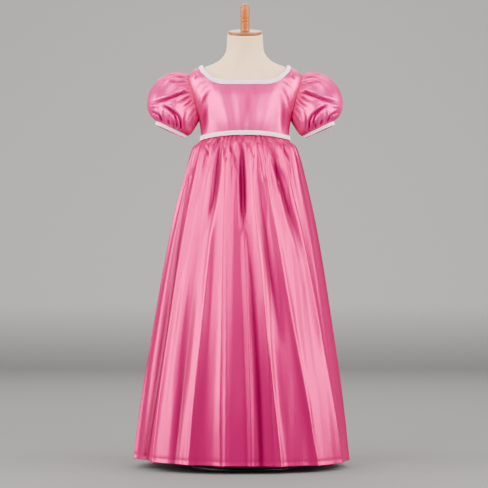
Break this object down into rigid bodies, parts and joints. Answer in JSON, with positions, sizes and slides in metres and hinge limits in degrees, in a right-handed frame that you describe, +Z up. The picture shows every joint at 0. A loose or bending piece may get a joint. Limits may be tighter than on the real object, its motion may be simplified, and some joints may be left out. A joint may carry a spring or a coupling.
{
  "type": "princess costume dress on a dress form with stand",
  "caption": "Girl's satin princess dress with puff sleeves, braid and a long gathered skirt, on a limbless dress form with a pole and a round base.",
  "frame": {"origin": "on the floor, at the middle of the stand's base, under the pole", "axes": "+Z up, -Y the way the front of the dress faces, +X towards the wearer's left"},
  "size_m": [0.5997, 0.4858, 1.2912],
  "materials": {
    "pink_satin": "polyester satin, strong soft sheen",
    "white_braid": "woven gimp braid, matt",
    "pink_enamel": "pink enamelled zip metal",
    "cream_jersey": "cream jersey over a padded form, matt",
    "varnished_wood": "turned beech, clear varnish",
    "dark_steel": "black powder coat, satin"
  },
  "bodies": {
    "dress": {"bodice_front": "pink_satin", "bodice_back_left": "pink_satin", "bodice_back_right": "pink_satin", "skirt_front": "pink_satin", "skirt_back_left": "pink_satin", "skirt_back_right": "pink_satin", "sleeve_left": "pink_satin", "sleeve_right": "pink_satin", "neck_braid": "white_braid", "waist_braid": "white_braid", "cuff_braid_left": "white_braid", "cuff_braid_right": "white_braid", "zip_slider": "pink_enamel", "form_torso": "cream_jersey", "neck_cap": "varnished_wood", "neck_knob": "varnished_wood", "stand_base": "dark_steel", "stand_collar": "dark_steel", "stand_pole": "dark_steel"},
    "pull_tab": {"zip_pull": "pink_enamel"}
  },
  "joints": [
    {"name": "pull_tab_hinge", "type": "hinge", "parent": "dress", "child": "pull_tab", "pos_m": [0, 0.08059, 1.07808], "axis": [1, 0, 0], "range_deg": [0, 150]}
  ]
}
